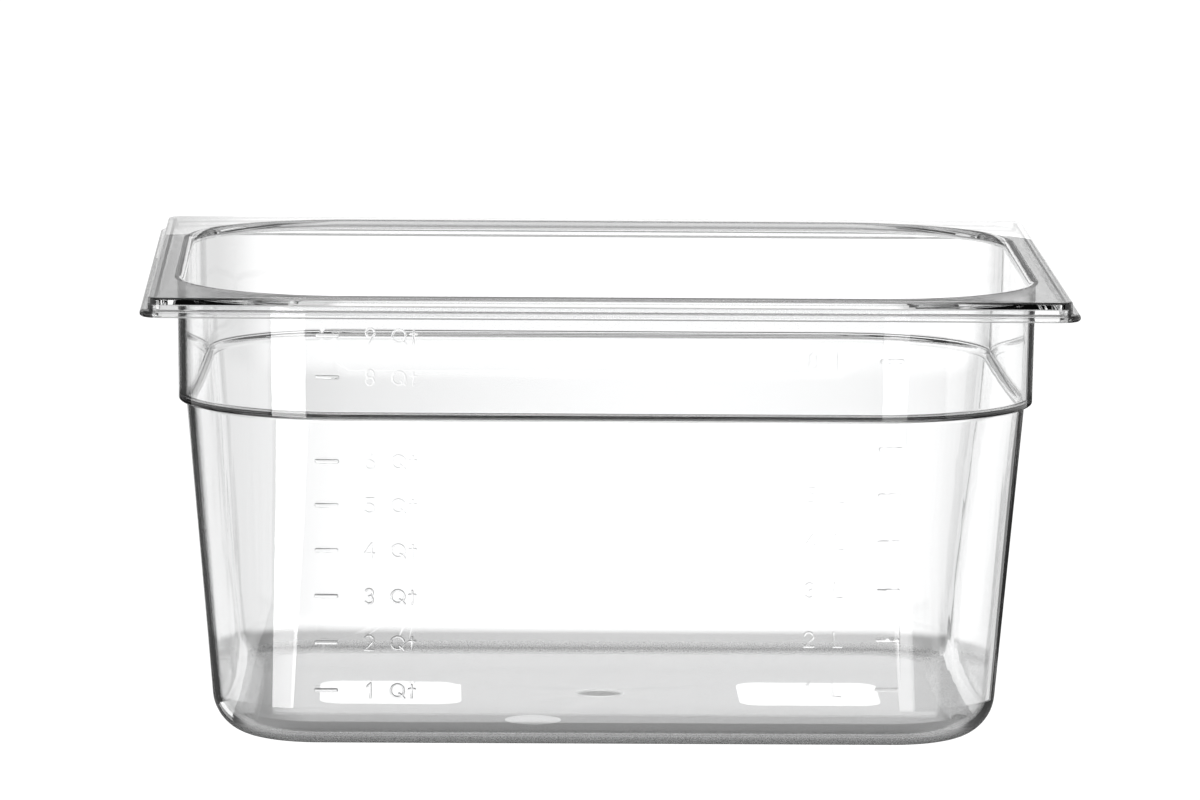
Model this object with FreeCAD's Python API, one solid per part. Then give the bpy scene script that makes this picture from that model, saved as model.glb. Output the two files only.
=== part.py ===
import FreeCAD, Part
import math
import os

# Half-size gastronorm food pan, nominal 150 mm deep, moulded in clear polycarbonate.
# Millimetres. +Z up, origin at the middle of the underside, front wall towards -Y.

# Overall size
LENGTH = 325.0
WIDTH = 265.0
HEIGHT = 161.0

# Section
WALL = 2.6
FLOOR = 3.0

# Rim: a flat land, a skirt turned down from its edge, and a bead round the foot of the skirt
LIP_REACH = 2.8
LIP_TOP = 4.5
LIP_FOOT = 6.8
LIP_EDGE = 0.9
LIP_CORNER = 8.0
LAND_CORNER = 5.2
LAND_EDGE = 0.8
MOUTH_EDGE = 2.2

# Collar and stacking shoulder
COLLAR_INSET = 11.2
COLLAR_DRAFT = 0.6
COLLAR_CORNER = 60.0
SHOULDER_DROP = 43.5
SHOULDER_STEP = 2.7
SHOULDER_EDGE = 0.8
LEDGE_THICKNESS = 2.0
LEDGE_EDGE = 1.8

# Tapered tub
TUB_TAPER = 9.7
TUB_FOOT_CORNER = 38.0
BASE_RADIUS = 15.7
FLAT_INSET = 0.6

# Polished panels in the frosted underside
PANEL_DEPTH = 0.6
WINDOW_SIDE = 51.0
WINDOW_CORNER = 8.0
WINDOW_OFFSET = 75.5
DISC_RADIUS = 10.0
DISC_CENTRE = (-25.0, -68.0)
GATE_RADIUS = 9.0
GATE_RISE = 0.9

# Raised scales on the front wall; the marks stand a little above the exact fill height
RAISE = 0.4
TICK_REACH = 40.0
STROKE = 0.9
TEXT_HEIGHT = 5.2
GLYPH_PITCH = 5.0
TICK_LENGTH = 8.4
TICK_HEIGHT = 1.6
TICK_CORNER = 0.75
TICK_X = 97.8
LABEL_X = 75.4
QUART = 946353.0
LITRE = 1000000.0
SCALE_GAIN = 1.035
FILL_STEP = 0.1
QUART_MARKS = range(1, 10)
LITRE_MARKS = range(1, 9)

# How near is near enough when an edge is looked for
SAME = 0.01
BESIDE = 0.3

# Heights worked out from the sizes above
LAND_BOTTOM = HEIGHT - WALL
LIP_TOP_Z = HEIGHT - LIP_TOP
LIP_FOOT_Z = HEIGHT - LIP_FOOT
SHOULDER_Z = HEIGHT - SHOULDER_DROP
LEDGE_Z = SHOULDER_Z + LEDGE_THICKNESS
EDGE_TOP = BASE_RADIUS

# Each outline is (half length, half width, corner radius); the two halves differ by the same amount
HALF_DIFFERENCE = (LENGTH - WIDTH) / 2


def outline(half_length, corner):
    return half_length, half_length - HALF_DIFFERENCE, corner


def inset(line, amount):
    half_x, half_y, corner = line
    return half_x - amount, half_y - amount, corner - amount


LIP = outline(LENGTH / 2, LIP_CORNER)
LAND = outline(LENGTH / 2 - LIP_REACH, LAND_CORNER)
COLLAR_HEAD = outline(LENGTH / 2 - COLLAR_INSET, COLLAR_CORNER)
COLLAR_FOOT = outline(COLLAR_HEAD[0] - COLLAR_DRAFT, COLLAR_CORNER)
TUB_HEAD = inset(COLLAR_FOOT, SHOULDER_STEP)
TUB_FOOT = outline(TUB_HEAD[0] - TUB_TAPER, TUB_FOOT_CORNER)
TAPER_PER_MM = TUB_TAPER / (SHOULDER_Z - EDGE_TOP)
CORNER_PER_MM = (TUB_HEAD[2] - TUB_FOOT_CORNER) / (SHOULDER_Z - EDGE_TOP)


def tub_outline(z):
    """Outside of the tub at height z, on the line of the tapered wall."""
    rise = z - EDGE_TOP
    return outline(TUB_FOOT[0] + TAPER_PER_MM * rise, TUB_FOOT[2] + CORNER_PER_MM * rise)


BASE_FLAT = inset(TUB_FOOT, BASE_RADIUS + FLAT_INSET)


def at_angle(centre, radius, degrees, z):
    angle = math.radians(degrees)
    return FreeCAD.Vector(centre[0] + radius * math.cos(angle), centre[1] + radius * math.sin(angle), z)


def arc_edge(centre, radius, start, end, z):
    points = [at_angle(centre, radius, angle, z) for angle in (start, (start + end) / 2, end)]
    return Part.Arc(*points).toShape()


def corner_centres(line):
    """Centre of each corner arc with the angle where the arc starts, anticlockwise."""
    x = line[0] - line[2]
    y = line[1] - line[2]
    return [((x, -y), -90), ((x, y), 0), ((-x, y), 90), ((-x, -y), 180)]


def rounded_wire(line, z, shift=(0.0, 0.0)):
    corners = corner_centres(line)
    edges = []
    for index, (centre, start) in enumerate(corners):
        after, after_start = corners[(index + 1) % 4]
        here = (centre[0] + shift[0], centre[1] + shift[1])
        there = (after[0] + shift[0], after[1] + shift[1])
        edges.append(arc_edge(here, line[2], start, start + 90, z))
        end_of_arc = at_angle(here, line[2], start + 90, z)
        edges.append(Part.makeLine(end_of_arc, at_angle(there, line[2], after_start, z)))
    return Part.Wire(edges)


def block(low_line, low_z, high_line, high_z):
    """Solid between two rounded outlines, with straight sides."""
    return Part.makeLoft([rounded_wire(low_line, low_z), rounded_wire(high_line, high_z)], True, True)


def plate(line, low_z, high_z, shift=(0.0, 0.0)):
    face = Part.Face(rounded_wire(line, low_z, shift))
    return face.extrude(FreeCAD.Vector(0, 0, high_z - low_z))


def edges_at(shape, z, line):
    """Edges of the shape that lie in the plane z and run along the given outline."""
    found = []
    for edge in shape.Edges:
        box = edge.BoundBox
        reach = max(abs(box.XMin), abs(box.XMax)), max(abs(box.YMin), abs(box.YMax))
        on_line = min(abs(reach[0] - line[0]), abs(reach[1] - line[1])) < BESIDE
        if max(abs(box.ZMin - z), abs(box.ZMax - z)) < SAME and on_line:
            found.append(edge)
    return found


def rim_land():
    opening = inset(COLLAR_HEAD, WALL)
    ring = plate(LAND, LAND_BOTTOM, HEIGHT).cut(plate(opening, LAND_BOTTOM, HEIGHT))
    ring = ring.makeFillet(MOUTH_EDGE, edges_at(ring, HEIGHT, opening))
    return ring.makeFillet(LAND_EDGE, edges_at(ring, HEIGHT, LAND))


def rim_skirt():
    return plate(LAND, LIP_FOOT_Z, LAND_BOTTOM).cut(plate(inset(LAND, WALL), LIP_FOOT_Z, LAND_BOTTOM))


def rim_lip():
    ring = plate(LIP, LIP_FOOT_Z, LIP_TOP_Z).cut(plate(LAND, LIP_FOOT_Z, LIP_TOP_Z))
    outer = edges_at(ring, LIP_FOOT_Z, LIP) + edges_at(ring, LIP_TOP_Z, LIP)
    return ring.makeFillet(LIP_EDGE, outer)


def collar():
    outside = block(COLLAR_FOOT, LEDGE_Z, COLLAR_HEAD, LAND_BOTTOM)
    inside = block(inset(COLLAR_FOOT, WALL), LEDGE_Z, inset(COLLAR_HEAD, WALL), LAND_BOTTOM)
    return outside.cut(inside)


def stacking_shoulder():
    mouth = inset(TUB_HEAD, WALL)
    ring = plate(COLLAR_FOOT, SHOULDER_Z, LEDGE_Z).cut(plate(mouth, SHOULDER_Z, LEDGE_Z))
    ring = ring.makeFillet(SHOULDER_EDGE, edges_at(ring, SHOULDER_Z, COLLAR_FOOT))
    return ring.makeFillet(LEDGE_EDGE, edges_at(ring, LEDGE_Z, mouth))


def wall_section(line, corner_index, z):
    """Section of the flat wall that follows the given corner."""
    corners = corner_centres(line)
    centre, start = corners[corner_index]
    after, after_start = corners[(corner_index + 1) % 4]
    points = [
        at_angle(centre, line[2], start + 90, z),
        at_angle(after, line[2], after_start, z),
        at_angle(after, line[2] - WALL, after_start, z),
        at_angle(centre, line[2] - WALL, start + 90, z),
    ]
    return Part.makePolygon(points + points[:1])


def corner_section(line, corner_index, z):
    centre, start = corner_centres(line)[corner_index]
    outer = arc_edge(centre, line[2], start, start + 90, z)
    inner = arc_edge(centre, line[2] - WALL, start + 90, start, z)
    across_end = Part.makeLine(outer.valueAt(outer.LastParameter), inner.valueAt(inner.FirstParameter))
    across_start = Part.makeLine(inner.valueAt(inner.LastParameter), outer.valueAt(outer.FirstParameter))
    return Part.Wire([outer, across_end, inner, across_start])


def tub_part(section, corner_index):
    wires = [section(TUB_FOOT, corner_index, EDGE_TOP), section(TUB_HEAD, corner_index, SHOULDER_Z)]
    return Part.makeLoft(wires, True, True)


def base_edge():
    outside = block(tub_outline(0), 0, tub_outline(EDGE_TOP), EDGE_TOP)
    outside = outside.makeFillet(BASE_RADIUS, edges_at(outside, 0, tub_outline(0)))
    inner_foot = inset(tub_outline(FLOOR), WALL)
    inside = block(inner_foot, FLOOR, inset(tub_outline(EDGE_TOP), WALL), EDGE_TOP)
    inside = inside.makeFillet(BASE_RADIUS - FLOOR, edges_at(inside, FLOOR, inner_foot))
    return outside.cut(inside).cut(plate(BASE_FLAT, 0, FLOOR))


def window(side):
    half = WINDOW_SIDE / 2
    return plate((half, half, WINDOW_CORNER), 0, PANEL_DEPTH, (side * WINDOW_OFFSET, 0))


def date_disc():
    return Part.makeCylinder(DISC_RADIUS, PANEL_DEPTH, FreeCAD.Vector(DISC_CENTRE[0], DISC_CENTRE[1], 0))


def base_floor():
    return plate(BASE_FLAT, 0, FLOOR).cut([window(-1), window(1), date_disc()])


def gate_mark():
    """Low dome on the inside of the floor: a slice off the top of a sphere."""
    radius = (GATE_RADIUS ** 2 + GATE_RISE ** 2) / (2 * GATE_RISE)
    sphere = Part.makeSphere(radius, FreeCAD.Vector(0, 0, FLOOR + GATE_RISE - radius))
    room = Part.makeCylinder(GATE_RADIUS + 1, GATE_RISE + 1, FreeCAD.Vector(0, 0, FLOOR))
    return sphere.common(room)


def section_area(line):
    half_x, half_y, corner = line
    return 4 * half_x * half_y - (4 - math.pi) * corner ** 2


def fill_height(volume):
    """Height of the liquid surface above the underside for a volume in cubic millimetres."""
    edge = BASE_RADIUS - FLOOR
    floor_line = inset(tub_outline(FLOOR), WALL)
    lost = (1 - math.pi / 4) * edge ** 2 * 4 * (floor_line[0] + floor_line[1] - edge)
    held = -lost
    z = FLOOR
    while held < volume:
        line = tub_outline(z) if z < SHOULDER_Z else COLLAR_FOOT
        held += section_area(inset(line, WALL)) * FILL_STEP
        z += FILL_STEP
    return z


def slot_face(start, end):
    """Straight stroke with round ends."""
    along = math.degrees(math.atan2(end[1] - start[1], end[0] - start[0]))
    cap_end = arc_edge(end, STROKE / 2, along - 90, along + 90, 0)
    cap_start = arc_edge(start, STROKE / 2, along + 90, along + 270, 0)
    end_first, end_last = [cap_end.valueAt(where) for where in cap_end.ParameterRange]
    start_first, start_last = [cap_start.valueAt(where) for where in cap_start.ParameterRange]
    side_a = Part.makeLine(end_last, start_first)
    side_b = Part.makeLine(start_last, end_first)
    return Part.Face(Part.Wire([cap_end, side_a, cap_start, side_b]))


def bow_face(centre, radius, start, end):
    """Curved stroke with round ends, anticlockwise from start to end."""
    outer = arc_edge(centre, radius + STROKE / 2, start, end, 0)
    cap_end = arc_edge(at_angle(centre, radius, end, 0), STROKE / 2, end, end + 180, 0)
    inner = arc_edge(centre, radius - STROKE / 2, end, start, 0)
    cap_start = arc_edge(at_angle(centre, radius, start, 0), STROKE / 2, start + 180, start + 360, 0)
    return Part.Face(Part.Wire([outer, cap_end, inner, cap_start]))


def ring_face(centre, radius):
    """Closed round stroke."""
    outer = Part.makeCircle(radius + STROKE / 2, FreeCAD.Vector(centre[0], centre[1], 0))
    inner = Part.makeCircle(radius - STROKE / 2, FreeCAD.Vector(centre[0], centre[1], 0))
    return Part.Face(Part.Wire(outer)).cut(Part.Face(Part.Wire(inner)))


# Plain numerals and unit letters, drawn as strokes in a box one unit high.
# "line" is x0, y0, x1, y1; "bow" is centre x, centre y, radius, start and end angle;
# "ring" is a full circle: centre x, centre y, radius.
GLYPHS = {
    "1": [("line", 0.12, 0.78, 0.34, 1.0), ("line", 0.34, 1.0, 0.34, 0.0)],
    "2": [("bow", 0.3, 0.7, 0.3, -40, 165), ("line", 0.53, 0.507, 0.0, 0.0), ("line", 0.0, 0.0, 0.62, 0.0)],
    "3": [("bow", 0.29, 0.75, 0.25, -90, 150), ("bow", 0.29, 0.25, 0.25, -150, 90)],
    "4": [("line", 0.46, 0.0, 0.46, 1.0), ("line", 0.46, 1.0, 0.0, 0.3), ("line", 0.0, 0.3, 0.64, 0.3)],
    "5": [
        ("line", 0.56, 1.0, 0.1, 1.0),
        ("line", 0.1, 1.0, 0.07, 0.55),
        ("bow", 0.28, 0.32, 0.31, -145, 132),
    ],
    "6": [("ring", 0.3, 0.29, 0.29), ("line", 0.05, 0.42, 0.42, 1.0)],
    "7": [("line", 0.0, 1.0, 0.6, 1.0), ("line", 0.6, 1.0, 0.2, 0.0)],
    "8": [("ring", 0.3, 0.76, 0.24), ("ring", 0.3, 0.26, 0.26)],
    "9": [("ring", 0.3, 0.71, 0.29), ("line", 0.55, 0.58, 0.18, 0.0)],
    "Q": [("ring", 0.42, 0.5, 0.44), ("line", 0.55, 0.3, 0.88, 0.0)],
    "t": [("line", 0.2, 0.0, 0.2, 0.9), ("line", 0.0, 0.62, 0.42, 0.62)],
    "L": [("line", 0.0, 1.0, 0.0, 0.0), ("line", 0.0, 0.0, 0.52, 0.0)],
}


def stroke_face(stroke):
    kind = stroke[0]
    if kind == "line":
        x0, y0, x1, y1 = [value * TEXT_HEIGHT for value in stroke[1:]]
        return slot_face((x0, y0), (x1, y1))
    centre = stroke[1] * TEXT_HEIGHT, stroke[2] * TEXT_HEIGHT
    radius = stroke[3] * TEXT_HEIGHT
    if kind == "ring":
        return ring_face(centre, radius)
    return bow_face(centre, radius, stroke[4], stroke[5])


def glyph(letter):
    """Raised letter lying flat, with its middle at the origin."""
    strokes = [stroke_face(stroke).extrude(FreeCAD.Vector(0, 0, RAISE)) for stroke in GLYPHS[letter]]
    letter_solid = strokes[0].multiFuse(strokes[1:]).removeSplitter()
    middle = letter_solid.BoundBox.Center.x
    letter_solid.translate(FreeCAD.Vector(-middle, -TEXT_HEIGHT / 2, 0))
    return letter_solid


def front_surface(z):
    """Distance of the front wall's outer face from the middle, and its lean in degrees, at height z."""
    if z < SHOULDER_Z:
        return tub_outline(z)[1], math.degrees(math.atan(TAPER_PER_MM))
    rise = LAND_BOTTOM - LEDGE_Z
    depth = COLLAR_FOOT[1] + COLLAR_DRAFT * (z - LEDGE_Z) / rise
    return depth, math.degrees(math.atan(COLLAR_DRAFT / rise))


def raised_letter(letter, x, z):
    depth, lean = front_surface(z)
    turn = FreeCAD.Rotation(FreeCAD.Vector(1, 0, 0), 90 + lean)
    on_wall = FreeCAD.Placement(FreeCAD.Vector(x, -depth, z), turn)
    letter_solid = glyph(letter)
    letter_solid.Placement = on_wall.multiply(letter_solid.Placement)
    return letter_solid


def front_skin(low_line, low_z, high_line, high_z):
    """Layer of RAISE thickness on the outside of the moulding, from which the ticks are cut."""
    outside = block(inset(low_line, -RAISE), low_z, inset(high_line, -RAISE), high_z)
    return outside.cut(block(low_line, low_z, high_line, high_z))


def raised_tick(x, z, skin):
    """Bar with round ends that follows the wall into the start of its corner."""
    bar = plate((TICK_LENGTH / 2, TICK_HEIGHT / 2, TICK_CORNER), 0, TICK_REACH)
    bar.rotate(FreeCAD.Vector(0, 0, 0), FreeCAD.Vector(1, 0, 0), 90)
    bar.translate(FreeCAD.Vector(x, TICK_REACH - LIP[1], z))
    return bar.common(skin)


def label_letters(text, centre_x):
    """Each letter of the label with the place of its middle."""
    start = centre_x - GLYPH_PITCH * (len(text) - 1) / 2
    spaced = [(letter, start + GLYPH_PITCH * index) for index, letter in enumerate(text)]
    return [(letter, x) for letter, x in spaced if letter != " "]


def scale_marks(unit_volume, marks, unit_name, side):
    tub_skin = front_skin(TUB_FOOT, EDGE_TOP, TUB_HEAD, SHOULDER_Z)
    collar_skin = front_skin(COLLAR_FOOT, LEDGE_Z, COLLAR_HEAD, LAND_BOTTOM)
    ticks = []
    numerals = []
    for number in marks:
        z = fill_height(number * unit_volume * SCALE_GAIN)
        if SHOULDER_Z - TEXT_HEIGHT < z < LEDGE_Z + TEXT_HEIGHT:
            continue
        skin = tub_skin if z < SHOULDER_Z else collar_skin
        ticks.append(raised_tick(side * TICK_X, z, skin))
        for letter, x in label_letters(str(number) + " " + unit_name, side * LABEL_X):
            numerals.append(raised_letter(letter, x, z))
    return Part.makeCompound(ticks), Part.makeCompound(numerals)


def tub_nodes():
    names = {0: "right_wall", 1: "back_wall", 2: "left_wall", 3: "front_wall"}
    nodes = {name: tub_part(wall_section, index) for index, name in names.items()}
    nodes["wall_corners"] = Part.makeCompound([tub_part(corner_section, index) for index in range(4)])
    return nodes


def scale_nodes():
    quart_ticks, quart_numerals = scale_marks(QUART, QUART_MARKS, "Qt", -1)
    litre_ticks, litre_numerals = scale_marks(LITRE, LITRE_MARKS, "L", 1)
    return {
        "quart_ticks": quart_ticks,
        "quart_numerals": quart_numerals,
        "litre_ticks": litre_ticks,
        "litre_numerals": litre_numerals,
    }


def all_nodes():
    nodes = {
        "rim_land": rim_land(),
        "rim_skirt": rim_skirt(),
        "rim_lip": rim_lip(),
        "collar": collar(),
        "stacking_shoulder": stacking_shoulder(),
        "base_edge": base_edge(),
        "base_floor": base_floor(),
        "left_window": window(-1),
        "right_window": window(1),
        "date_disc": date_disc(),
        "gate_mark": gate_mark(),
    }
    nodes.update(tub_nodes())
    nodes.update(scale_nodes())
    return nodes


os.makedirs("parts", exist_ok=True)
for name, shape in all_nodes().items():
    print(name, shape.isValid(), len(shape.Solids), round(shape.Volume / 1000, 2), "cm3")
    shape.exportStep(os.path.join("parts", name + ".step"))
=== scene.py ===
import math

import bmesh
import bpy
from mathutils import Matrix, Vector
from mathutils.bvhtree import BVHTree
from mathutils.interpolate import poly_3d_calc


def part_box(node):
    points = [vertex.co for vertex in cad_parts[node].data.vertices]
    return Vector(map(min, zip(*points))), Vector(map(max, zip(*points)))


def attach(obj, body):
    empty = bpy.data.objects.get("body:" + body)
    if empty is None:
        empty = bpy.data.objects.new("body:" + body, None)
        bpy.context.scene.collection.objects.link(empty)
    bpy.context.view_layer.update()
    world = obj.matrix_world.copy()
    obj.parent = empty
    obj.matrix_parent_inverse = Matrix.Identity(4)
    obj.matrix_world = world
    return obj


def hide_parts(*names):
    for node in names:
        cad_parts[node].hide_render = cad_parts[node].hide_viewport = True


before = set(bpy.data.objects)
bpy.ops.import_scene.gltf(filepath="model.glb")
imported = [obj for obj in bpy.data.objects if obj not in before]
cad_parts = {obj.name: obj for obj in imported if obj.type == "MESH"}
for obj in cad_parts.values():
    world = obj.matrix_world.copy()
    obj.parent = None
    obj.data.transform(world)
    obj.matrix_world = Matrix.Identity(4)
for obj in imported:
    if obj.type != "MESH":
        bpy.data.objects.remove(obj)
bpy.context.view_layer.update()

MM = 0.001

# ---------------------------------------------------------------- sizes read from the frame

LIP_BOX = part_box("rim_lip")
LAND_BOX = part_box("rim_land")
SKIRT_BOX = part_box("rim_skirt")
COLLAR_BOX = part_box("collar")
SHOULDER_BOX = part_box("stacking_shoulder")
WALLS_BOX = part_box("wall_corners")
EDGE_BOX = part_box("base_edge")
FLOOR_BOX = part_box("base_floor")
GATE_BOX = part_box("gate_mark")

TOP_Z = LAND_BOX[1].z
LAND_UNDER_Z = LAND_BOX[0].z
LIP_TOP_Z = LIP_BOX[1].z
LIP_FOOT_Z = LIP_BOX[0].z
SHOULDER_Z = SHOULDER_BOX[0].z
LEDGE_Z = SHOULDER_BOX[1].z
EDGE_TOP_Z = EDGE_BOX[1].z
FLOOR_Z = FLOOR_BOX[1].z
WALL = TOP_Z - LAND_UNDER_Z
HALF_DIFFERENCE = LIP_BOX[1].x - LIP_BOX[1].y

# Corner radii and edge roundings of the moulding
LIP_CORNER = 8.0 * MM
LAND_CORNER = 5.2 * MM
COLLAR_CORNER = 60.0 * MM
TUB_FOOT_CORNER = 38.0 * MM
BASE_RADIUS = EDGE_TOP_Z
MOUTH_EDGE = 2.2 * MM
LAND_EDGE = 0.8 * MM
LIP_EDGE = 0.9 * MM
SKIRT_EDGE = 0.6 * MM
LIP_ROOT = 0.6 * MM
SHOULDER_EDGE = 0.8 * MM
SHOULDER_ROOT = 0.8 * MM
LEDGE_EDGE = 2.6 * MM
LEDGE_ROOT = 0.9 * MM
LAND_ROOT = 0.9 * MM
COLLAR_DRAFT = 0.6 * MM

# Faces round a corner of an outline or round an edge of the profile
CORNER_STEPS = 22
SMALL_STEPS = 3
EDGE_STEPS = 4
ROUND_STEPS = 5
MOUTH_STEPS = 7
BASE_STEPS = 14

# Width of the straight face beside each rounding, and the tightest corner of an outline
HOLD = 0.35 * MM
LEAST_CORNER = 0.3 * MM


# ---------------------------------------------------------------- outlines and profile

def outline(half_x, corner, z):
    """Rounded rectangle at height z; the two half sizes always differ by the same amount."""
    return half_x, half_x - HALF_DIFFERENCE, corner, z


LIP_HALF = LIP_BOX[1].x
LAND_HALF = LAND_BOX[1].x
SKIRT_INNER_HALF = LAND_HALF - WALL
COLLAR_TOP_HALF = COLLAR_BOX[1].x
COLLAR_FOOT_HALF = COLLAR_TOP_HALF - COLLAR_DRAFT
TUB_TOP_HALF = WALLS_BOX[1].x
TUB_FOOT_HALF = EDGE_BOX[1].x
TUB_TOP_CORNER = COLLAR_CORNER - (COLLAR_FOOT_HALF - TUB_TOP_HALF)
LEAN = math.atan((TUB_TOP_HALF - TUB_FOOT_HALF) / (SHOULDER_Z - EDGE_TOP_Z))


def tub_half(z):
    return TUB_FOOT_HALF + (z - EDGE_TOP_Z) * math.tan(LEAN)


def tub_corner(z):
    rise = (z - EDGE_TOP_Z) / (SHOULDER_Z - EDGE_TOP_Z)
    return TUB_FOOT_CORNER + (TUB_TOP_CORNER - TUB_FOOT_CORNER) * rise


def collar_half(z):
    return COLLAR_FOOT_HALF + COLLAR_DRAFT * (z - LEDGE_Z) / (LAND_UNDER_Z - LEDGE_Z)


def rounding(centre_half, centre_z, radius, start, end, corner_at_centre, steps=ROUND_STEPS):
    """Stations round an edge of the profile, by angle in degrees about the edge's centre."""
    stations = []
    for step in range(steps + 1):
        angle = math.radians(start + (end - start) * step / steps)
        reach = radius * math.cos(angle)
        corner = max(corner_at_centre + reach, LEAST_CORNER)
        stations.append(outline(centre_half + reach, corner, centre_z + radius * math.sin(angle)))
    return stations


def base_rounding(floor_z, radius, wall_inset):
    """Stations round the foot of the tub, from the flat to the leaning wall."""
    lean = math.degrees(LEAN)
    centre_z = floor_z + radius
    centre_half = tub_half(centre_z) - wall_inset - radius / math.cos(LEAN)
    tangent_z = centre_z - radius * math.sin(LEAN)
    corner = tub_corner(tangent_z) - wall_inset - radius * math.cos(LEAN)
    return rounding(centre_half, centre_z, radius, -90, -lean, corner, BASE_STEPS)


def outer_stations():
    """The outside of the moulding, from the edge of the underside up to the top of the land."""
    stations = base_rounding(0.0, BASE_RADIUS, 0.0)
    z = stations[-1][3] + HOLD
    stations.append(outline(tub_half(z), tub_corner(z), z))
    z = SHOULDER_Z - SHOULDER_ROOT - HOLD
    stations.append(outline(tub_half(z), tub_corner(z), z))
    stations += rounding(TUB_TOP_HALF + SHOULDER_ROOT, SHOULDER_Z - SHOULDER_ROOT, SHOULDER_ROOT,
                         180, 90, TUB_TOP_CORNER + SHOULDER_ROOT, SMALL_STEPS)
    stations += rounding(COLLAR_FOOT_HALF - SHOULDER_EDGE, SHOULDER_Z + SHOULDER_EDGE, SHOULDER_EDGE,
                         -90, 0, COLLAR_CORNER - SHOULDER_EDGE)
    z = SHOULDER_Z + SHOULDER_EDGE + HOLD
    stations.append(outline(COLLAR_FOOT_HALF, COLLAR_CORNER, z))
    z = LAND_UNDER_Z - LAND_ROOT - HOLD
    stations.append(outline(collar_half(z), COLLAR_CORNER, z))
    stations += rounding(COLLAR_TOP_HALF + LAND_ROOT, LAND_UNDER_Z - LAND_ROOT, LAND_ROOT,
                         180, 90, COLLAR_CORNER + LAND_ROOT, EDGE_STEPS)
    stations += rounding(SKIRT_INNER_HALF - SKIRT_EDGE, LAND_UNDER_Z - SKIRT_EDGE, SKIRT_EDGE,
                         90, 0, LAND_CORNER - WALL - SKIRT_EDGE, SMALL_STEPS)
    stations += rounding(SKIRT_INNER_HALF + SKIRT_EDGE, LIP_FOOT_Z + SKIRT_EDGE, SKIRT_EDGE,
                         180, 270, LAND_CORNER - WALL + SKIRT_EDGE, SMALL_STEPS)
    stations += rounding(LIP_HALF - LIP_EDGE, LIP_FOOT_Z + LIP_EDGE, LIP_EDGE,
                         -90, 0, LIP_CORNER - LIP_EDGE, EDGE_STEPS)
    stations += rounding(LIP_HALF - LIP_EDGE, LIP_TOP_Z - LIP_EDGE, LIP_EDGE,
                         0, 90, LIP_CORNER - LIP_EDGE, EDGE_STEPS)
    stations += rounding(LAND_HALF + LIP_ROOT, LIP_TOP_Z + LIP_ROOT, LIP_ROOT,
                         270, 180, LAND_CORNER + LIP_ROOT, SMALL_STEPS)
    stations += rounding(LAND_HALF - LAND_EDGE, TOP_Z - LAND_EDGE, LAND_EDGE,
                         0, 90, LAND_CORNER - LAND_EDGE, EDGE_STEPS)
    return stations


def inner_stations():
    """The inside of the moulding, from the land over the mouth edge down to the edge of the floor."""
    corner = COLLAR_CORNER - WALL
    mouth_half = COLLAR_TOP_HALF - WALL
    stations = [outline(mouth_half + MOUTH_EDGE + HOLD, corner + MOUTH_EDGE + HOLD, TOP_Z)]
    stations += rounding(mouth_half + MOUTH_EDGE, TOP_Z - MOUTH_EDGE, MOUTH_EDGE,
                         90, 180, corner + MOUTH_EDGE, MOUTH_STEPS)
    z = TOP_Z - MOUTH_EDGE - HOLD
    stations.append(outline(collar_half(z) - WALL, corner, z))
    z = LEDGE_Z + LEDGE_ROOT + HOLD
    stations.append(outline(collar_half(z) - WALL, corner, z))
    foot = COLLAR_FOOT_HALF - WALL
    stations += rounding(foot - LEDGE_ROOT, LEDGE_Z + LEDGE_ROOT, LEDGE_ROOT,
                         0, -90, corner - LEDGE_ROOT, EDGE_STEPS)
    tub_inner = tub_half(LEDGE_Z) - WALL
    tub_inner_corner = tub_corner(LEDGE_Z) - WALL
    stations += rounding(tub_inner + LEDGE_EDGE, LEDGE_Z - LEDGE_EDGE, LEDGE_EDGE,
                         90, 180, tub_inner_corner + LEDGE_EDGE)
    z = LEDGE_Z - LEDGE_EDGE - HOLD
    stations.append(outline(tub_half(z) - WALL, tub_corner(z) - WALL, z))
    base = base_rounding(FLOOR_Z, BASE_RADIUS - FLOOR_Z, WALL)
    z = base[-1][3] + HOLD
    stations.append(outline(tub_half(z) - WALL, tub_corner(z) - WALL, z))
    stations += reversed(base)
    return stations


# ---------------------------------------------------------------- mesh of the moulding

# Material slots of the moulding
CLEAR, FOOT, FROSTED, POLISHED = 0, 1, 2, 3

WINDOW_CORNER = 8.0 * MM
PANEL_STEPS = 6
CIRCLE_POINTS = 48
GATE_STEPS = 10
GATE_RECESS = 2.7 * MM
TEXTURE_TOP = 4.0 * MM


def rounded_rectangle(half_x, half_y, corner, z, steps, middle=(0.0, 0.0)):
    """Points anticlockwise round a rounded rectangle."""
    points = []
    for sign_x, sign_y, start in ((1, -1, -90), (1, 1, 0), (-1, 1, 90), (-1, -1, 180)):
        for step in range(steps + 1):
            angle = math.radians(start + 90 * step / steps)
            x = middle[0] + sign_x * (half_x - corner) + corner * math.cos(angle)
            y = middle[1] + sign_y * (half_y - corner) + corner * math.sin(angle)
            points.append((x, y, z))
    return points


def ring_points(station):
    half_x, half_y, corner, z = station
    return rounded_rectangle(half_x, half_y, corner, z, CORNER_STEPS)


def panel_points(panel):
    """Outline of a polished panel in the underside, from the CAD node's box."""
    low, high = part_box(panel)
    half = (high - low) / 2
    return rounded_rectangle(half.x, half.y, WINDOW_CORNER, 0.0, PANEL_STEPS, (low + high) / 2)


def circle_points(centre, radius, z):
    points = []
    for index in range(CIRCLE_POINTS):
        angle = 2 * math.pi * index / CIRCLE_POINTS
        points.append((centre[0] + radius * math.cos(angle), centre[1] + radius * math.sin(angle), z))
    return points


def add_ring(bm, points):
    return [bm.verts.new(point) for point in points]


def bridge(bm, below, above, material=0):
    count = len(below)
    for index in range(count):
        after = (index + 1) % count
        face = bm.faces.new((below[index], below[after], above[after], above[index]))
        face.material_index = material


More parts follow.
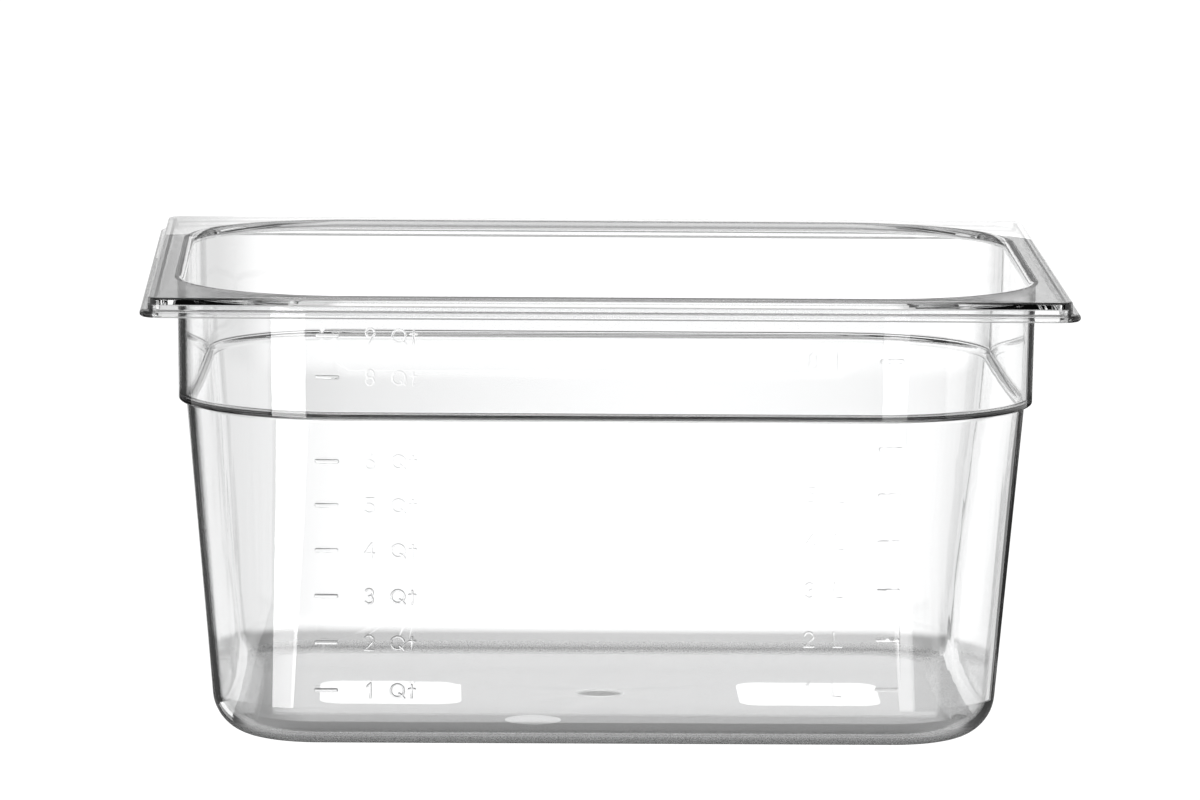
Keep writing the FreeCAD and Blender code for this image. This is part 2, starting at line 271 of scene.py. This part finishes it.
def loop_edges(bm, ring):
    edges = []
    for index, vert in enumerate(ring):
        after = ring[(index + 1) % len(ring)]
        edges.append(bm.edges.get((vert, after)) or bm.edges.new((vert, after)))
    return edges


def fill_between(bm, loops, material, up):
    """Flat face area bounded by the first loop, with the other loops as holes."""
    edges = [edge for ring in loops for edge in loop_edges(bm, ring)]
    made = bmesh.ops.triangle_fill(bm, edges=edges, use_beauty=True, use_dissolve=False)
    for face in made["geom"]:
        if isinstance(face, bmesh.types.BMFace):
            face.material_index = material
            if (face.normal.z > 0) != up:
                face.normal_flip()


def dome_rings(bm, radius, base_z, rise, steps):
    """Rings of a low dome from its rim inwards; rise may be negative."""
    rings = []
    for step in range(1, steps):
        share = 1 - step / steps
        z = base_z + rise * (1 - share ** 2)
        rings.append(add_ring(bm, circle_points((0, 0), radius * share, z)))
    return rings


def close_dome(bm, rim, rise, radius, material, up):
    base_z = rim[0].co.z
    rings = [rim] + dome_rings(bm, radius, base_z, rise, GATE_STEPS)
    for outer, inner in zip(rings, rings[1:]):
        if up:
            bridge(bm, outer, inner, material)
        else:
            bridge(bm, inner, outer, material)
    tip = bm.verts.new((0, 0, base_z + rise))
    last = rings[-1]
    for index, vert in enumerate(last):
        after = last[(index + 1) % len(last)]
        corners = (vert, after, tip) if up else (after, vert, tip)
        bm.faces.new(corners).material_index = material


def link(made):
    bpy.context.scene.collection.objects.link(made)
    return made


def mesh_from(bm, name):
    mesh = bpy.data.meshes.new(name)
    bm.to_mesh(mesh)
    bm.free()
    return mesh


def moulding_mesh():
    """The whole moulding without its raised marks, as one closed surface."""
    bm = bmesh.new()
    stations = outer_stations() + inner_stations()
    rings = [add_ring(bm, ring_points(station)) for station in stations]
    textured = sum(1 for station in outer_stations() if station[3] < TEXTURE_TOP)
    for index, (below, above) in enumerate(zip(rings, rings[1:])):
        bridge(bm, below, above, FOOT if index < textured else CLEAR)

    gate_radius = GATE_BOX[1].x
    gate_rise = GATE_BOX[1].z - GATE_BOX[0].z
    gate_top = add_ring(bm, circle_points((0, 0), gate_radius, FLOOR_Z))
    fill_between(bm, [rings[-1], gate_top], CLEAR, True)
    close_dome(bm, gate_top, gate_rise, gate_radius, CLEAR, True)

    panels = [add_ring(bm, panel_points(panel)) for panel in ("left_window", "right_window")]
    low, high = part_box("date_disc")
    middle = (low + high) / 2
    panels.append(add_ring(bm, circle_points(middle, high.x - middle.x, 0.0)))
    gate_foot = add_ring(bm, circle_points((0, 0), gate_radius, 0.0))
    fill_between(bm, [rings[0]] + panels + [gate_foot], FROSTED, False)
    for panel in panels:
        fill_between(bm, [panel], POLISHED, False)
    close_dome(bm, gate_foot, GATE_RECESS, gate_radius, POLISHED, False)

    bmesh.ops.recalc_face_normals(bm, faces=bm.faces)
    return mesh_from(bm, "pan_moulding")


# ---------------------------------------------------------------- raised marks

MARK_NODES = ("quart_ticks", "quart_numerals", "litre_ticks", "litre_numerals")
# How deep the marks are set into the wall, and how much lower than the CAD marks their tops start
MARK_SINK = 0.1 * MM
MARK_DROP = 0.32 * MM
# Steps of the rounded top: millimetres inwards and outwards
BEAD_PROFILE = ((0.12, 0.13), (0.10, 0.06), (0.12, 0.03))
# Relief of the lowest and the highest marks as a share of the profile, and between which heights it changes
STRONG = 1.6
FAINT = 0.4
STRONG_RELIEF_Z = 38 * MM
FAINT_RELIEF_Z = 75 * MM
SAME_POINT = 0.0005 * MM
# A point this near the plain moulding lies on it
ON_SURFACE = 0.001 * MM
SHARP_ANGLE = math.radians(40)
AREA_WEIGHT = 100


def wall_face(z):
    """Y of the front wall's outer face at height z."""
    return HALF_DIFFERENCE - (tub_half(z) if z < SHOULDER_Z else collar_half(z))


def fade_upwards(bm):
    """Lower the relief of the higher marks, which hardly show on the pan."""
    for vert in bm.verts:
        above = (vert.co.z - STRONG_RELIEF_Z) / (FAINT_RELIEF_Z - STRONG_RELIEF_Z)
        relief = STRONG + (FAINT - STRONG) * min(max(above, 0), 1)
        face_y = wall_face(vert.co.z)
        if vert.co.y < face_y:
            vert.co.y = face_y + (vert.co.y - face_y) * relief


def mark_bmesh(mark_node):
    """The marks of one CAD node, with rounded tops, set into the wall."""
    quart = mark_node.startswith("quart")
    bm = bmesh.new()
    bm.from_mesh(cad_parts[mark_node].data)
    bmesh.ops.remove_doubles(bm, verts=bm.verts, dist=SAME_POINT)
    bmesh.ops.recalc_face_normals(bm, faces=bm.faces)
    bm.normal_update()
    tops = [face for face in bm.faces if face.normal.y < -0.5]
    raised = {vert for face in tops for vert in face.verts}
    bmesh.ops.translate(bm, verts=list(raised), vec=(0, MARK_DROP, 0))
    bmesh.ops.translate(bm, verts=bm.verts, vec=(0, MARK_SINK, 0))
    for thickness, depth in BEAD_PROFILE:
        bm.normal_update()
        bmesh.ops.inset_region(bm, faces=tops, thickness=thickness * MM, use_even_offset=True,
                               depth=depth * (1.0 if quart else FAINT) * MM, use_boundary=True)
    if quart:
        fade_upwards(bm)
    return bm


def marks_object():
    joined = bmesh.new()
    for mark_node in MARK_NODES:
        part = mesh_from(mark_bmesh(mark_node), "part")
        joined.from_mesh(part)
        bpy.data.meshes.remove(part)
    return link(bpy.data.objects.new("marks", mesh_from(joined, "marks")))


def apply_modifiers(piece):
    depsgraph = bpy.context.evaluated_depsgraph_get()
    mesh = bpy.data.meshes.new_from_object(piece.evaluated_get(depsgraph))
    piece.modifiers.clear()
    piece.data = mesh


def join_marks(pan):
    marks = marks_object()
    union = pan.modifiers.new("marks", "BOOLEAN")
    union.operation = "UNION"
    union.solver = "EXACT"
    union.object = marks
    bpy.context.view_layer.update()
    apply_modifiers(pan)
    bpy.data.objects.remove(marks)


def surface_normals(pan):
    """The moulding's surface with its shading normals, plane on the flats and smooth round the edges."""
    pan.data.shade_smooth()
    weighted = pan.modifiers.new("normals", "WEIGHTED_NORMAL")
    weighted.mode = "FACE_AREA"
    weighted.weight = AREA_WEIGHT
    apply_modifiers(pan)
    mesh = pan.data
    mesh.calc_loop_triangles()
    triangles = mesh.loop_triangles
    places = [vert.co.copy() for vert in mesh.vertices]
    loop_normals = [corner.vector.copy() for corner in mesh.corner_normals]
    corners = [[places[index] for index in triangle.vertices] for triangle in triangles]
    normals = [[loop_normals[index] for index in triangle.loops] for triangle in triangles]
    tree = BVHTree.FromPolygons(places, [triangle.vertices[:] for triangle in triangles])
    return tree, corners, normals


def normal_at(surface, point):
    """Shading normal of the plain moulding, or None away from its surface."""
    tree, corners, normals = surface
    place, _, index, distance = tree.find_nearest(point)
    if distance > ON_SURFACE:
        return None
    shares = poly_3d_calc(corners[index], place)
    return sum((normal * share for normal, share in zip(normals[index], shares)), Vector()).normalized()


def copy_normals(mesh, surface):
    """Shade the walls as if the marks weren't there, so that they stay plane between the marks."""
    at_verts = [normal_at(surface, vert.co) for vert in mesh.vertices]
    own = [corner.vector.copy() for corner in mesh.corner_normals]
    mesh.normals_split_custom_set([at_verts[loop.vertex_index] or own[loop.index] for loop in mesh.loops])


def make_pan():
    pan = link(bpy.data.objects.new("pan_moulding", moulding_mesh()))
    # The frosted foot's tones hold painted light, brightening it, besides a random speckle
    foot = frosted_plastic("frosted_foot_painted_light", FOOT_SPECKLE_AND_PAINTED_LIGHT, FOOT_ROUGHNESS)
    # The frosted underside's dark tones are painted shade, with a faint random speckle
    underside = frosted_plastic("frosted_underside_painted_shade", UNDERSIDE_SPECKLE_AND_PAINTED_SHADE, UNDERSIDE_ROUGHNESS)
    for material in (clear_plastic(), foot, underside, polished_plastic()):
        pan.data.materials.append(material)
    surface = surface_normals(pan)
    join_marks(pan)
    pan.data.set_sharp_from_angle(angle=SHARP_ANGLE)
    copy_normals(pan.data, surface)
    return pan


# ---------------------------------------------------------------- materials

POLYCARBONATE_IOR = 1.585
CLEAR_TINT = (0.985, 0.987, 0.988)
PANEL_TINT = (0.97, 0.975, 0.978)

# Range of the noise that is used, and the tones and roughness it is spread over. The tones are painted light
# and shade as well as speckle: the foot's run above one and brighten it, the underside's are dark and stand
# in for the shade under the pan.
NOISE_RANGE = (0.35, 0.75)
# Painted light: the foot's tones run above one, brightening it beyond what clear plastic passes, with a
# random speckle
FOOT_SPECKLE_AND_PAINTED_LIGHT = (0.55, 1.3)
FOOT_ROUGHNESS = (0.24, 0.36)
# Painted shade: the underside's dark tones stand in for the shade under the pan, seen through the frosted
# plastic
UNDERSIDE_SPECKLE_AND_PAINTED_SHADE = (0.42, 0.50)
UNDERSIDE_ROUGHNESS = (0.32, 0.50)
COOL_TINT = (("Red", 1.0), ("Green", 1.005), ("Blue", 1.01))

# Noise scale, then strength and depth of the bump
RIPPLE_SCALE, RIPPLE_STRENGTH, RIPPLE_DEPTH = 22.0, 0.08, 0.4 * MM
PANEL_SCALE, PANEL_STRENGTH, PANEL_DEPTH = 120.0, 0.15, 0.05 * MM
GRAIN_SCALE, GRAIN_STRENGTH, GRAIN_DEPTH = 1300.0, 0.5, 0.12 * MM


def new_material(name):
    material = bpy.data.materials.new(name)
    material.use_nodes = True
    return material, material.node_tree, material.node_tree.nodes["Principled BSDF"]


def node(tree, kind, **settings):
    made = tree.nodes.new(kind)
    for name, value in settings.items():
        setattr(made, name, value)
    return made


def noise(tree, scale, detail=2.0, rough=0.5):
    coordinates = node(tree, "ShaderNodeTexCoord")
    texture = node(tree, "ShaderNodeTexNoise")
    texture.inputs["Scale"].default_value = scale
    texture.inputs["Detail"].default_value = detail
    texture.inputs["Roughness"].default_value = rough
    tree.links.new(coordinates.outputs["Object"], texture.inputs["Vector"])
    return texture.outputs["Fac"]


def bump(tree, height, strength, distance):
    made = node(tree, "ShaderNodeBump")
    made.inputs["Strength"].default_value = strength
    made.inputs["Distance"].default_value = distance
    tree.links.new(height, made.inputs["Height"])
    return made.outputs["Normal"]


def remap(tree, value, low, high):
    """Spread the noise over the values from low to high."""
    made = node(tree, "ShaderNodeMapRange")
    made.inputs["From Min"].default_value = NOISE_RANGE[0]
    made.inputs["From Max"].default_value = NOISE_RANGE[1]
    made.inputs["To Min"].default_value = low
    made.inputs["To Max"].default_value = high
    tree.links.new(value, made.inputs["Value"])
    return made.outputs["Result"]


def glassy(shader, colour):
    shader.inputs["Base Color"].default_value = (*colour, 1)
    shader.inputs["Transmission Weight"].default_value = 1.0
    shader.inputs["IOR"].default_value = POLYCARBONATE_IOR


def gloss_plastic(name, tint, scale, detail, strength, depth):
    """Gloss polycarbonate with the faint ripple of a moulded surface."""
    material, tree, shader = new_material(name)
    glassy(shader, tint)
    shader.inputs["Roughness"].default_value = 0.0
    ripple = noise(tree, scale, detail)
    tree.links.new(bump(tree, ripple, strength, depth), shader.inputs["Normal"])
    return material


def clear_plastic():
    return gloss_plastic("clear_polycarbonate", CLEAR_TINT, RIPPLE_SCALE, 1.0, RIPPLE_STRENGTH, RIPPLE_DEPTH)


def polished_plastic():
    return gloss_plastic("polished_panel", PANEL_TINT, PANEL_SCALE, 2.0, PANEL_STRENGTH, PANEL_DEPTH)


def frosted_plastic(name, speckle_and_painted_shading, roughness):
    """Fine spark-eroded texture, with a speckle between two tones; the tones also hold painted light on the
    foot, where they run above one, and painted shade on the underside, where they are dark.
    """
    material, tree, shader = new_material(name)
    glassy(shader, (1, 1, 1))
    grain = noise(tree, GRAIN_SCALE, 3.0, 0.6)
    speckle = node(tree, "ShaderNodeCombineColor")
    for channel, tint in COOL_TINT:
        tree.links.new(remap(tree, grain, speckle_and_painted_shading[0] * tint, speckle_and_painted_shading[1] * tint), speckle.inputs[channel])
    tree.links.new(speckle.outputs["Color"], shader.inputs["Base Color"])
    tree.links.new(remap(tree, grain, *roughness), shader.inputs["Roughness"])
    tree.links.new(bump(tree, grain, GRAIN_STRENGTH, GRAIN_DEPTH), shader.inputs["Normal"])
    return material


# ---------------------------------------------------------------- stage, light and camera

def glow_material(name, strength):
    """White glow without any reflection."""
    material, tree, shader = new_material(name)
    shader.inputs["Base Color"].default_value = (0, 0, 0, 1)
    shader.inputs["Roughness"].default_value = 1.0
    shader.inputs["Specular IOR Level"].default_value = 0.0
    shader.inputs["Emission Color"].default_value = (1, 1, 1, 1)
    shader.inputs["Emission Strength"].default_value = strength
    return material, tree, shader


STAGE_RADIUS = 11.0
STAGE_GLOW = 1.1
STAGE_BELOW = 0.02 * MM
COVE_RADIUS = 3.0
COVE_STEPS = 12
STAGE_SEGMENTS = 96


def make_stage():
    """A white light table that curves up into a backdrop on every side."""
    profile = [(0.0, 0.0), (1.0, 0.0), (STAGE_RADIUS, 0.0)]
    for step in range(1, COVE_STEPS + 1):
        angle = math.radians(90 * step / COVE_STEPS)
        profile.append((STAGE_RADIUS + COVE_RADIUS * math.sin(angle), COVE_RADIUS * (1 - math.cos(angle))))
    bm = bmesh.new()
    points = [bm.verts.new((radius, 0, z)) for radius, z in profile]
    for before, after in zip(points, points[1:]):
        bm.edges.new((before, after))
    bmesh.ops.spin(bm, geom=bm.verts[:] + bm.edges[:], cent=(0, 0, 0), axis=(0, 0, 1),
                   angle=math.tau, steps=STAGE_SEGMENTS, use_merge=True)
    bmesh.ops.remove_doubles(bm, verts=bm.verts, dist=MM)
    bmesh.ops.recalc_face_normals(bm, faces=bm.faces)
    mesh = mesh_from(bm, "stage")
    mesh.materials.append(glow_material("pale_stage", STAGE_GLOW)[0])
    stage = link(bpy.data.objects.new("stage", mesh))
    stage.location.z = -STAGE_BELOW
    stage.visible_glossy = False
    stage.visible_transmission = False


# The flat screen behind the pan, in metres from the middle of the pan's underside
BACK_LEFT, BACK_RIGHT = -0.385, 0.345
BACK_FOOT, BACK_TOP = -0.29, 0.262
BACK_Y = 0.98
BACK_BRIGHTEST_X = 0.06
BACK_GLOW = 1.25
# Each fade: where it starts, where it ends and the share of the glow that is left there
SIDE_FADE = (0.0, 0.33, 0.62)
UPPER_SIDE_FADE = (0.18, 0.26, 0.60)
UPPER_PART = (-0.012, 0.0, 0.0)
FOOT_FADE = (0.145, 0.180, 0.36)

# Curved screens: name, bearings in degrees, heights and distance in metres, glow, and the fade by height.
# Bearings are seen from the pan, from +Y towards +X.
SCREENS = (
    ("left_back_screen", (-78, -50), (-0.45, 0.25), 2.0, 0.65, None),
    ("left_screen", (-125, -78), (-0.45, 0.25), 2.0, 1.0, None),
    ("right_screen", (37, 125), (-0.45, 0.25), 2.0, 0.85, None),
    ("low_left_screen", (-58, -32), (-1.15, -0.60), 2.0, 1.1, None),
    ("front_low_screen", (124, 235), (-1.30, -0.75), 2.0, 2.1, (-0.95, -0.75, 0.48)),
    ("front_side_screen", (124, 210), (-0.75, -0.16), 2.0, 1.0, (-0.40, -0.16, 0.03)),
    ("front_screen", (153, 213), (-1.20, -0.16), 1.9, 2.1, (-0.40, -0.16, 0.03)),
)
SCREEN_STEP = 3.0

# Upright strip lights: name, bearing, distance, width, heights, radiance and the point they are measured from
STRIPS = (
    ("left_strip", 220, 1.6, 0.68, (-0.62, 0.06), 8.0, (-0.1, -0.07)),
    ("right_strip", 161.5, 1.6, 0.48, (-0.62, 0.06), 3.0, (0.1, -0.07)),
)


def show_to_glass_only(made):
    """Hide a screen from the camera, so that it shows only in and through the plastic."""
    made.visible_camera = False
    made.visible_diffuse = False
    made.visible_shadow = False


def fall_off(tree, distance, start, end, low):
    """Factor that drops smoothly from one to low as the distance goes from start to end."""
    made = node(tree, "ShaderNodeMapRange", interpolation_type="SMOOTHSTEP")
    made.inputs["From Min"].default_value = start
    made.inputs["From Max"].default_value = end
    made.inputs["To Min"].default_value = 1.0
    made.inputs["To Max"].default_value = low
    tree.links.new(distance, made.inputs["Value"])
    return made.outputs["Result"]


def axes(tree, space):
    """X, Y and Z of a shader's coordinates."""
    coordinates = node(tree, "ShaderNodeTexCoord")
    split = node(tree, "ShaderNodeSeparateXYZ")
    tree.links.new(coordinates.outputs[space], split.inputs["Vector"])
    return split.outputs


def maths(tree, operation, *values):
    made = node(tree, "ShaderNodeMath", operation=operation)
    for socket, value in zip(made.inputs, values):
        if isinstance(value, float):
            socket.default_value = value
        else:
            tree.links.new(value, socket)
    return made.outputs["Value"]


def back_screen():
    """Flat soft box behind the pan, brightest in the middle and dimmer towards its sides and foot.

    The upper part, which shows through the pan's mouth, stays bright further out and then dims quickly.
    """
    mesh = bpy.data.meshes.new("back_screen")
    corners = [(BACK_LEFT, BACK_Y, BACK_FOOT), (BACK_RIGHT, BACK_Y, BACK_FOOT),
               (BACK_RIGHT, BACK_Y, BACK_TOP), (BACK_LEFT, BACK_Y, BACK_TOP)]
    mesh.from_pydata(corners, [], [(0, 1, 2, 3)])
    material, tree, shader = glow_material("back_screen", 1.0)
    place = axes(tree, "Object")
    across = maths(tree, "ABSOLUTE", maths(tree, "SUBTRACT", place["X"], BACK_BRIGHTEST_X))
    down = maths(tree, "MULTIPLY", place["Z"], -1.0)
    sides = fall_off(tree, across, *SIDE_FADE)
    upper_sides = fall_off(tree, across, *UPPER_SIDE_FADE)
    lower_share = fall_off(tree, place["Z"], *UPPER_PART)
    difference = maths(tree, "SUBTRACT", sides, upper_sides)
    sides = maths(tree, "MULTIPLY_ADD", difference, lower_share, upper_sides)
    foot = fall_off(tree, down, *FOOT_FADE)
    glow = maths(tree, "MULTIPLY", maths(tree, "MULTIPLY", sides, foot), BACK_GLOW)
    tree.links.new(glow, shader.inputs["Emission Strength"])
    mesh.materials.append(material)
    show_to_glass_only(link(bpy.data.objects.new("back_screen", mesh)))


def curved_screen(name, bearings, heights, reach, glow, fade):
    """Upright curved soft box round the pan, with an even glow or one that fades towards its top."""
    steps = max(1, round((bearings[1] - bearings[0]) / SCREEN_STEP))
    corners = []
    for step in range(steps + 1):
        angle = math.radians(bearings[0] + (bearings[1] - bearings[0]) * step / steps)
        for z in heights:
            corners.append((reach * math.sin(angle), reach * math.cos(angle), z))
    faces = [(2 * step, 2 * step + 1, 2 * step + 3, 2 * step + 2) for step in range(steps)]
    mesh = bpy.data.meshes.new(name)
    mesh.from_pydata(corners, [], faces)
    material, tree, shader = glow_material(name, glow)
    if fade:
        share = fall_off(tree, axes(tree, "Object")["Z"], *fade)
        tree.links.new(maths(tree, "MULTIPLY", share, glow), shader.inputs["Emission Strength"])
    mesh.materials.append(material)
    show_to_glass_only(link(bpy.data.objects.new(name, mesh)))


def make_screens():
    """Bright screens all round the pan, with a dark gap on each side of the one behind it.

    The gaps give clear plastic its dark edges.
    """
    back_screen()
    for row in SCREENS:
        curved_screen(*row)


# Elevation in degrees and light of the room there
WORLD_STOPS = ((-90, 0.12), (-72, 0.20), (-62, 0.55), (-44, 0.55), (-34, 0.10), (-18, 0.05), (3, 0.05),
               (6, 0.35), (12, 0.35), (17, 0.70), (28, 0.70), (33, 0.20), (44, 0.20), (52, 0.75), (90, 0.85))


def make_world():
    """Room that is dark at eye level, with a light band below that and one above, and lightest overhead."""
    world = bpy.data.worlds.new("studio")
    world.use_nodes = True
    tree = world.node_tree
    background = tree.nodes["Background"]
    height = node(tree, "ShaderNodeMapRange")
    height.inputs["From Min"].default_value = -1.0
    ramp = node(tree, "ShaderNodeValToRGB")
    tree.links.new(axes(tree, "Generated")["Z"], height.inputs["Value"])
    tree.links.new(height.outputs["Result"], ramp.inputs["Fac"])
    tree.links.new(ramp.outputs["Color"], background.inputs["Color"])
    stops = ramp.color_ramp.elements
    for index, (elevation, grey) in enumerate(WORLD_STOPS):
        place = (1 + math.sin(math.radians(elevation))) / 2
        stop = stops[0] if index == 0 else stops[-1] if elevation == 90 else stops.new(place)
        stop.color = (grey, grey, grey, 1)
    background.inputs["Strength"].default_value = 1.0
    bpy.context.scene.world = world


def strip_light(name, bearing, reach, width, heights, radiance, start):
    """Upright strip light that shows only in reflections and is turned to the point start."""
    low, high = heights
    light = bpy.data.lights.new(name, "AREA")
    light.shape = "RECTANGLE"
    light.size = width
    light.size_y = high - low
    light.energy = radiance * math.pi * width * (high - low)
    lamp = link(bpy.data.objects.new(name, light))
    angle = math.radians(bearing)
    place = Vector((start[0] + reach * math.sin(angle), start[1] + reach * math.cos(angle), (low + high) / 2))
    lamp.location = place
    lamp.rotation_euler = (Vector((start[0], start[1], place.z)) - place).to_track_quat("-Z", "Y").to_euler()
    lamp.visible_camera = False
    lamp.visible_diffuse = False
    lamp.visible_transmission = False


CAMERA_PLACE = (-0.069, -3.040, 0.508)
CAMERA_LENS = 255.3
CAMERA_TURN = (1.288, 7.468, -0.48)


def make_camera():
    """A long lens in front, a little to the left, looking slightly down, with a slight roll."""
    yaw, pitch, roll = (math.radians(angle) for angle in CAMERA_TURN)
    ahead = Vector((math.sin(yaw) * math.cos(pitch), math.cos(yaw) * math.cos(pitch), -math.sin(pitch)))
    level = Vector((math.cos(yaw), -math.sin(yaw), 0))
    down = ahead.cross(level)
    image_x = level * math.cos(roll) + down * math.sin(roll)
    image_y = level * math.sin(roll) - down * math.cos(roll)
    data = bpy.data.cameras.new("camera")
    data.sensor_width = 36.0
    data.lens = CAMERA_LENS
    data.clip_end = 60.0
    camera = link(bpy.data.objects.new("camera", data))
    turn = Matrix((image_x, image_y, -ahead)).transposed()
    camera.matrix_world = Matrix.Translation(CAMERA_PLACE) @ turn.to_4x4()
    bpy.context.scene.camera = camera


def set_look():
    """Enough bounces for light to cross the pan's walls and travel along inside them."""
    scene = bpy.context.scene
    scene.view_settings.view_transform = "Standard"
    scene.cycles.max_bounces = 24
    scene.cycles.transmission_bounces = 20
    scene.cycles.glossy_bounces = 12


make_camera()
make_world()
make_stage()
make_screens()
set_look()
for strip in STRIPS:
    strip_light(*strip)

pan_moulding = make_pan()
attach(pan_moulding, "root")
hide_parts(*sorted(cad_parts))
